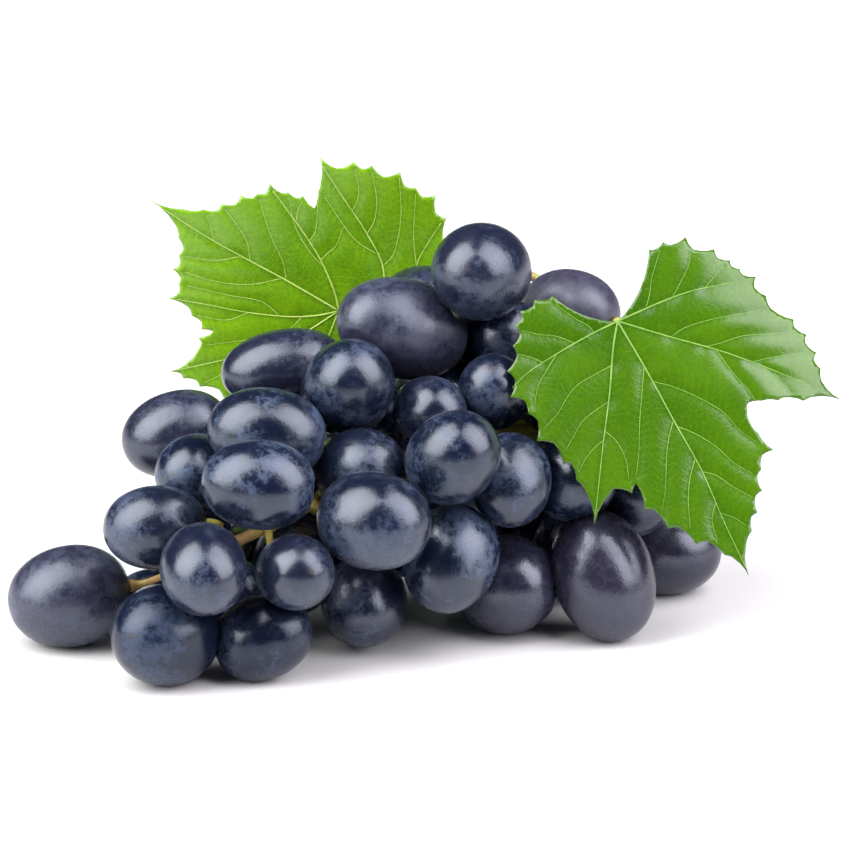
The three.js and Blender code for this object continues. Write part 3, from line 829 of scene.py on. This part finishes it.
def add_blade(leaf, main, side, front_material, back_material):
    name = leaf["name"]
    start, edge, end = leaf_outline(leaf["teeth"], leaf["cleft_bow"])
    outline = np.array(start + edge + end)
    flat = [Vector(point) for point in blade_points(outline, main + side)]
    made = delaunay_2d_cdt(flat, [], [list(range(len(outline)))], 1, SAME_POINT)
    points = np.array([tuple(v) for v in made[0]])
    faces = made[2]
    to_main = distance_to_lines(points, main)
    to_side = distance_to_lines(points, side)
    height = leaf_height(leaf, points, to_main, to_side)
    rung, rung_share = ladder(points, main + side)
    obj = new_object(
        name,
        world(np.column_stack([points, height]) + leaf["head"]),
        faces,
        front_material,
        name,
        {
            "to_main_mm": to_main,
            "to_side_mm": to_side,
            "to_head_mm": np.linalg.norm(points, axis=1),
            "rung_mm": rung,
            "rung_share": rung_share,
        },
    )
    obj.data.materials.append(back_material)
    solidify = obj.modifiers.new("thickness", "SOLIDIFY")
    solidify.thickness = LEAF_THICKNESS * MM
    solidify.offset = 0
    solidify.material_offset = 1


def add_veins(leaf, main, side, material):
    """Raised veins on both faces of the blade."""
    name = leaf["name"]
    shells = []
    for lines, radii in ((main, MAIN_RADII), (side, SIDE_RADII)):
        for line in lines:
            height = leaf_height(leaf, line, distance_to_lines(line, main), distance_to_lines(line, side))
            for face in (1, -1):
                path = np.column_stack([line, height + face * LEAF_THICKNESS / 2]) + leaf["head"]
                shells.append(tube(path, np.linspace(*radii, len(line)), VEIN_SIDES))
    vertices, faces = joined(shells)
    new_object(name + "_veins", world(vertices), faces, material, name)


def add_leaf_stalk(leaf, material):
    name = leaf["name"]
    end = np.array(leaf["stalk"][-1])
    foot = stem_points[nearest_on_stem(end)]
    points = Line(leaf["stalk"] + [lerp(end, foot, STALK_SUNK)]).spaced(LEAF_STALK_STEPS)
    t = np.linspace(0, 1, LEAF_STALK_STEPS + 1)
    head = LEAF_STALK_HEAD[0] * np.exp(-t * LEAF_STALK_HEAD[1])
    foot = LEAF_STALK_FOOT[0] * np.exp(-(1 - t) * LEAF_STALK_FOOT[1])
    vertices, faces = tube(points, LEAF_STALK_RADIUS + head + foot, LEAF_STALK_SIDES)
    new_object(name + "_stalk", world(vertices), faces, material, name)


def add_leaf(leaf, front_material, back_material, vein_material, stalk_material):
    main = vein_lines(leaf["main_veins"], MAIN_STEPS)
    side = vein_lines(leaf["side_veins"], SIDE_STEPS)
    add_blade(leaf, main, side, front_material, back_material)
    add_veins(leaf, main, side, vein_material)
    add_leaf_stalk(leaf, stalk_material)


# Materials. Noise is scaled by the metre, and the attributes give distances in millimetres.


class Nodes:
    """A material's nodes, made and linked by short calls."""

    def __init__(self, name):
        self.material = bpy.data.materials.new(name)
        self.material.use_nodes = True
        self.tree = self.material.node_tree
        self.shader = self.tree.nodes["Principled BSDF"]

    def add(self, kind, inputs=None, **settings):
        node = self.tree.nodes.new("ShaderNode" + kind)
        for key, value in settings.items():
            setattr(node, key, value)
        for key, value in (inputs or {}).items():
            self.put(value, node.inputs[key])
        return node

    def put(self, value, socket):
        if isinstance(value, bpy.types.NodeSocket):
            self.tree.links.new(value, socket)
        else:
            socket.default_value = value

    def math(self, operation, a, b=0.0, clamp=False):
        return self.add("Math", {0: a, 1: b}, operation=operation, use_clamp=clamp).outputs[0]

    def mix(self, factor, a, b):
        node = self.add("Mix", {0: factor, 6: a, 7: b}, data_type="RGBA")
        return node.outputs[2]

    def blend(self, factor, a, b):
        return self.add("Mix", {0: factor, 2: a, 3: b}).outputs[0]

    def ramp(self, value, low, high, to_low=0.0, to_high=1.0):
        node = self.add(
            "MapRange",
            {"Value": value, "From Min": low, "From Max": high, "To Min": to_low, "To Max": to_high},
            interpolation_type="SMOOTHSTEP",
        )
        return node.outputs[0]

    def noise(self, vector, scale, detail=4.0, roughness=0.55, distortion=0.0):
        inputs = {"Vector": vector, "Scale": scale, "Detail": detail}
        inputs.update({"Roughness": roughness, "Distortion": distortion})
        return self.add("TexNoise", inputs).outputs[0]

    def cells(self, vector, scale):
        node = self.add("TexVoronoi", {"Vector": vector, "Scale": scale}, feature="DISTANCE_TO_EDGE")
        return node.outputs["Distance"]

    def attribute(self, name):
        return self.add("Attribute", attribute_name=name).outputs["Fac"]

    def bump(self, height, strength, distance, normal=None):
        inputs = {"Height": height, "Strength": strength, "Distance": distance}
        if normal is not None:
            inputs["Normal"] = normal
        return self.add("Bump", inputs).outputs[0]

    def finish(self, **inputs):
        for key, value in inputs.items():
            self.put(value, self.shader.inputs[key.replace("_", " ").title()])
        return self.material


def colour(r, g, b):
    return (r, g, b, 1)


def berry_material(name, index):
    """Dark skin under a patchy wax bloom, rubbed off in flecks, with a brown scar at the blossom end."""
    n = Nodes(name)
    info = n.add("ObjectInfo").outputs["Color"]
    own = n.add("SeparateColor", {"Color": info}).outputs
    place = n.add("TexCoord").outputs["Object"]
    shift = n.math("MULTIPLY", own["Blue"], 3.7)
    shift_y = n.math("MULTIPLY", shift, 1.7)
    shift_z = n.math("MULTIPLY", shift, -2.3)
    offset = n.add("CombineXYZ", {0: shift, 1: shift_y, 2: shift_z}).outputs[0]
    vector = n.add("VectorMath", {0: place, 1: offset}, operation="ADD").outputs[0]
    flecks = n.noise(vector, 560.0, 5.0, 0.72, 0.3)
    grain = n.ramp(n.noise(vector, 1700.0, 3.0, 0.6), 0.35, 0.65)
    clouds = n.noise(vector, 190.0, 4.0, 0.6, 0.5)
    ragged = n.math("ADD", n.noise(vector, 80.0, 3.0, 0.5, 0.6), n.math("MULTIPLY", flecks, 0.45))
    shoulder = n.math("MULTIPLY", n.ramp(n.attribute("root_mm"), 17.0, 6.0), 0.09)
    patches = n.ramp(n.math("ADD", ragged, shoulder), 0.68, 0.9)
    worn = n.math("MULTIPLY", n.ramp(flecks, 0.36, 0.6, 0.3, 1.0), n.blend(0.2, 1.0, grain))
    patchy = n.math("MULTIPLY", n.blend(patches, 0.03, 0.85), worn)
    veil = n.blend(own["Green"], patchy, n.blend(0.3, 0.25, worn))
    bloom = n.math("MULTIPLY", veil, own["Red"], clamp=True)
    skin = n.mix(own["Green"], colour(0.002, 0.004, 0.014), colour(0.008, 0.005, 0.015))
    wax = n.mix(own["Green"], colour(0.06, 0.092, 0.17), colour(0.085, 0.085, 0.135))
    base = n.mix(n.math("MULTIPLY", bloom, 0.8), skin, wax)
    scar = n.ramp(n.attribute("tip_mm"), 0.75, 0.4)
    base = n.mix(n.math("MULTIPLY", scar, 0.85), base, colour(0.03, 0.018, 0.012))
    collar = n.ramp(n.attribute("root_mm"), 3.4, 1.6)
    base = n.mix(n.math("MULTIPLY", collar, 0.5), base, colour(0.04, 0.024, 0.024))
    waves = n.noise(vector, 160.0, 2.0)
    normal = n.bump(waves, 0.12, 0.0006)
    normal = n.bump(n.blend(0.7, grain, flecks), 0.2, 0.0002, normal)
    dull = n.math("ADD", n.ramp(bloom, 0.0, 0.5, 0.0, 0.2), n.ramp(clouds, 0.4, 0.65, 0.0, 0.1))
    rough = n.math("ADD", dull, 0.16)
    n.finish(base_color=base, roughness=rough, normal=normal)
    n.shader.inputs["IOR"].default_value = index
    n.shader.inputs["Specular Tint"].default_value = colour(0.82, 0.89, 1.0)
    n.shader.inputs["Sheen Weight"].default_value = 0.03
    n.shader.inputs["Sheen Roughness"].default_value = 0.35
    n.shader.inputs["Sheen Tint"].default_value = colour(0.7, 0.8, 1.0)
    return n.material


def stem_material():
    """Green, half woody stalks with tan and brown patches and fine bumps."""
    n = Nodes("stem_wood")
    place = n.add("TexCoord").outputs["Object"]
    patches = n.ramp(n.noise(place, 110.0, 4.0), 0.4, 0.62)
    specks = n.ramp(n.noise(place, 900.0, 3.0), 0.52, 0.7)
    base = n.mix(patches, colour(0.33, 0.29, 0.05), colour(0.3, 0.18, 0.06))
    base = n.mix(n.math("MULTIPLY", specks, 0.6), base, colour(0.12, 0.055, 0.02))
    to_cut = n.attribute("to_cut_mm")
    base = n.mix(n.ramp(to_cut, 2.45, 2.15), base, colour(0.2, 0.11, 0.04))
    base = n.mix(n.ramp(to_cut, 1.0, 0.7), base, colour(0.42, 0.34, 0.18))
    normal = n.bump(n.noise(place, 1200.0, 3.0), 0.4, 0.0002)
    return n.finish(base_color=base, roughness=n.blend(patches, 0.45, 0.62), normal=normal)


def leaf_material(name, green, light, deep, painted_light_outside):
    """A blade with painted shade, deeper green in the creases along its veins and around the stalk head,
    painted light on its outer parts where asked, and paler rungs and a fine net between the veins.
    """
    n = Nodes(name)
    place = n.add("TexCoord").outputs["Object"]
    broad = n.ramp(n.noise(place, 45.0, 3.0), 0.35, 0.65)
    fine = n.ramp(n.noise(place, 650.0, 4.0, 0.65), 0.3, 0.7)
    wander = n.math("MULTIPLY", n.noise(place, 420.0, 2.0), 1.6)
    rung = n.math("PINGPONG", n.math("ADD", n.attribute("rung_mm"), wander), 0.8)
    rungs = n.math("MULTIPLY", n.ramp(rung, 0.2, 0.0), n.attribute("rung_share"))
    net = n.ramp(n.cells(place, 950.0), 0.12, 0.0)
    to_main = n.attribute("to_main_mm")
    to_side = n.attribute("to_side_mm")
    to_head = n.attribute("to_head_mm")
    # Painted shade: deeper green in the creases beside the main and side veins
    side_vein_crease_shade = n.math("MULTIPLY", n.ramp(to_side, 1.0, 0.2), 0.7)
    vein_crease_shade = n.math("MAXIMUM", n.ramp(to_main, 1.6, 0.3), side_vein_crease_shade)
    # Painted shade: deeper green around the head of the stalk, fading into the plain green further out
    head_shade_fade = n.ramp(to_head, 4.0, 34.0)
    base = n.mix(n.math("MULTIPLY", head_shade_fade, 0.75), deep, green)
    # Painted light: the outer parts lighter, by as much as the leaf asks
    outer_light_mask = n.ramp(to_head, 12.0, 36.0)
    base = n.mix(n.math("MULTIPLY", outer_light_mask, painted_light_outside), base, light)
    base = n.mix(n.math("MULTIPLY", broad, 0.5), base, light)
    base = n.mix(n.math("MULTIPLY", fine, 0.35), base, deep)
    base = n.mix(n.math("MULTIPLY", vein_crease_shade, 0.5), base, deep)
    base = n.mix(n.math("MULTIPLY", rungs, 0.35), base, light)
    base = n.mix(n.math("MULTIPLY", net, 0.3), base, light)
    dents = n.math("ADD", n.math("MULTIPLY", rungs, -0.5), n.math("MULTIPLY", net, -0.3))
    normal = n.bump(n.math("ADD", dents, n.math("MULTIPLY", fine, 0.3)), 0.12, 0.0002)
    rough = n.blend(fine, 0.19, 0.25)
    n.shader.inputs["Specular IOR Level"].default_value = 0.47
    return n.finish(base_color=base, roughness=rough, normal=normal)


def vein_material(name, pale, green):
    """Veins and leaf stalks, mottled in two colours."""
    n = Nodes(name)
    place = n.add("TexCoord").outputs["Object"]
    base = n.mix(n.ramp(n.noise(place, 300.0, 3.0), 0.3, 0.7), pale, green)
    normal = n.bump(n.noise(place, 1500.0, 2.0), 0.2, 0.0001)
    rough = n.ramp(n.noise(place, 500.0), 0.3, 0.7, 0.4, 0.55)
    return n.finish(base_color=base, roughness=rough, normal=normal)


# Studio

LIGHT_SPREAD = math.radians(135)
SOFT_EDGE = 0.16  # share of a panel's width over which its light fades out
PANEL_DISTANCE = 0.75
PANEL_SIZE = (0.88, 1.35)
# The direction of each panel from the bunch, its power in watts and its tint
PANELS = {
    "softbox_left": ((-0.69, -0.26, 0.68), 16.9, (1.0, 0.985, 0.98)),
    "softbox_right": ((0.69, -0.26, 0.68), 14.6, (0.99, 0.95, 1.0)),
}
LIT_POINT = Vector((0, 0, 0.035))
SKY = (0.6, 0.78, 1.0, 1)
SKY_STRENGTH = 0.04
FLOOR_HALF_WIDTH = 4.0


def soft_edges(tree):
    """A share of light that fades out towards all four edges of an area light."""
    across = tree.nodes.new("ShaderNodeSeparateXYZ")
    tree.links.new(tree.nodes.new("ShaderNodeNewGeometry").outputs["Parametric"], across.inputs[0])
    both = tree.nodes.new("ShaderNodeMath")
    both.operation = "MULTIPLY"
    for axis in (0, 1):
        fold = tree.nodes.new("ShaderNodeMath")
        fold.operation = "PINGPONG"
        tree.links.new(across.outputs[axis], fold.inputs[0])
        fold.inputs[1].default_value = 0.5
        fade = tree.nodes.new("ShaderNodeMapRange")
        fade.interpolation_type = "SMOOTHSTEP"
        tree.links.new(fold.outputs[0], fade.inputs["Value"])
        fade.inputs["From Max"].default_value = SOFT_EDGE
        tree.links.new(fade.outputs[0], both.inputs[axis])
    return both.outputs[0]


def area_light(name, direction, power, tint):
    data = bpy.data.lights.new(name, "AREA")
    data.shape = "RECTANGLE"
    data.size, data.size_y = PANEL_SIZE
    data.energy = power
    data.color = tint
    data.spread = LIGHT_SPREAD
    data.use_nodes = True
    tree = data.node_tree
    tree.links.new(soft_edges(tree), tree.nodes["Emission"].inputs["Strength"])
    obj = bpy.data.objects.new(name, data)
    obj.location = LIT_POINT + Vector(direction).normalized() * PANEL_DISTANCE
    obj.rotation_euler = (LIT_POINT - obj.location).to_track_quat("-Z", "Y").to_euler()
    bpy.context.collection.objects.link(obj)


def add_studio():
    mesh = bpy.data.meshes.new("floor")
    r = FLOOR_HALF_WIDTH
    mesh.from_pydata([(-r, -r, 0), (r, -r, 0), (r, r, 0), (-r, r, 0)], [], [(0, 1, 2, 3)])
    n = Nodes("floor")
    place = n.add("TexCoord").outputs["Object"]
    tone = n.mix(n.noise(place, 6.0, 2.0), colour(0.7, 0.7, 0.7), colour(0.72, 0.72, 0.725))
    mesh.materials.append(n.finish(base_color=tone, roughness=0.6))
    floor = bpy.data.objects.new("floor", mesh)
    bpy.context.collection.objects.link(floor)
    for name, (direction, power, tint) in PANELS.items():
        area_light(name, direction, power, tint)
    scene = bpy.context.scene
    scene.world = bpy.data.worlds.new("studio")
    scene.world.use_nodes = True
    background = scene.world.node_tree.nodes["Background"]
    background.inputs["Color"].default_value = SKY
    background.inputs["Strength"].default_value = SKY_STRENGTH
    scene.view_settings.view_transform = "Standard"


LENS = 800
SENSOR = 36
CLIP_END = 50
PICTURE_WIDTH = 187  # millimetres across the picture at the middle of the bunch
PICTURE_MIDDLE = (0, 45.1, 0)
GLOSSY_INDEX = 1.65
# The lower index gives the berries under others less shine, as painted shade
SHADE_DULLED_INDEX = 1.45


def add_camera():
    data = bpy.data.cameras.new("camera")
    data.lens = LENS
    data.sensor_width = SENSOR
    data.clip_end = CLIP_END
    camera = bpy.data.objects.new("camera", data)
    distance = PICTURE_WIDTH * MM * LENS / SENSOR
    target = Vector(world(PICTURE_MIDDLE))
    camera.location = target + Vector((0, -COS, SIN)) * distance
    camera.rotation_euler = (math.pi / 2 - VIEW_HEIGHT, 0, 0)
    bpy.context.collection.objects.link(camera)
    bpy.context.scene.camera = camera


add_camera()
add_studio()

berries = make_berries()
glossy_skin = berry_material("berry_skin", GLOSSY_INDEX)
# A copy of the skin with less shine, as painted shade on the berries under others
shade_dulled_skin = berry_material("berry_skin_shade_dulled", SHADE_DULLED_INDEX)
add_berries(berries, glossy_skin, shade_dulled_skin)
add_stem(berries, stem_material())

stalk_green = vein_material("leaf_stalk", colour(0.3, 0.36, 0.07), colour(0.26, 0.15, 0.06))
right_veins = vein_material("leaf_right_veins", colour(0.17, 0.31, 0.04), colour(0.1, 0.22, 0.015))
left_veins = vein_material("leaf_left_veins", colour(0.36, 0.48, 0.09), colour(0.24, 0.38, 0.04))
right_blade = leaf_material(
    "leaf_right_blade",
    green=colour(0.039, 0.108, 0.001),
    light=colour(0.069, 0.162, 0.002),
    deep=colour(0.021, 0.075, 0.001),
    painted_light_outside=0.0,
)
# The left leaf and the leaf backs get painted light on their outer parts
left_blade = leaf_material(
    "leaf_left_blade",
    green=colour(0.115, 0.26, 0.003),
    light=colour(0.19, 0.375, 0.006),
    deep=colour(0.046, 0.14, 0.002),
    painted_light_outside=0.15,
)
leaf_back = leaf_material(
    "leaf_back",
    green=colour(0.13, 0.26, 0.045),
    light=colour(0.19, 0.33, 0.09),
    deep=colour(0.08, 0.18, 0.03),
    painted_light_outside=0.2,
)
add_leaf(RIGHT_LEAF, right_blade, leaf_back, right_veins, stalk_green)
add_leaf(LEFT_LEAF, left_blade, leaf_back, left_veins, stalk_green)
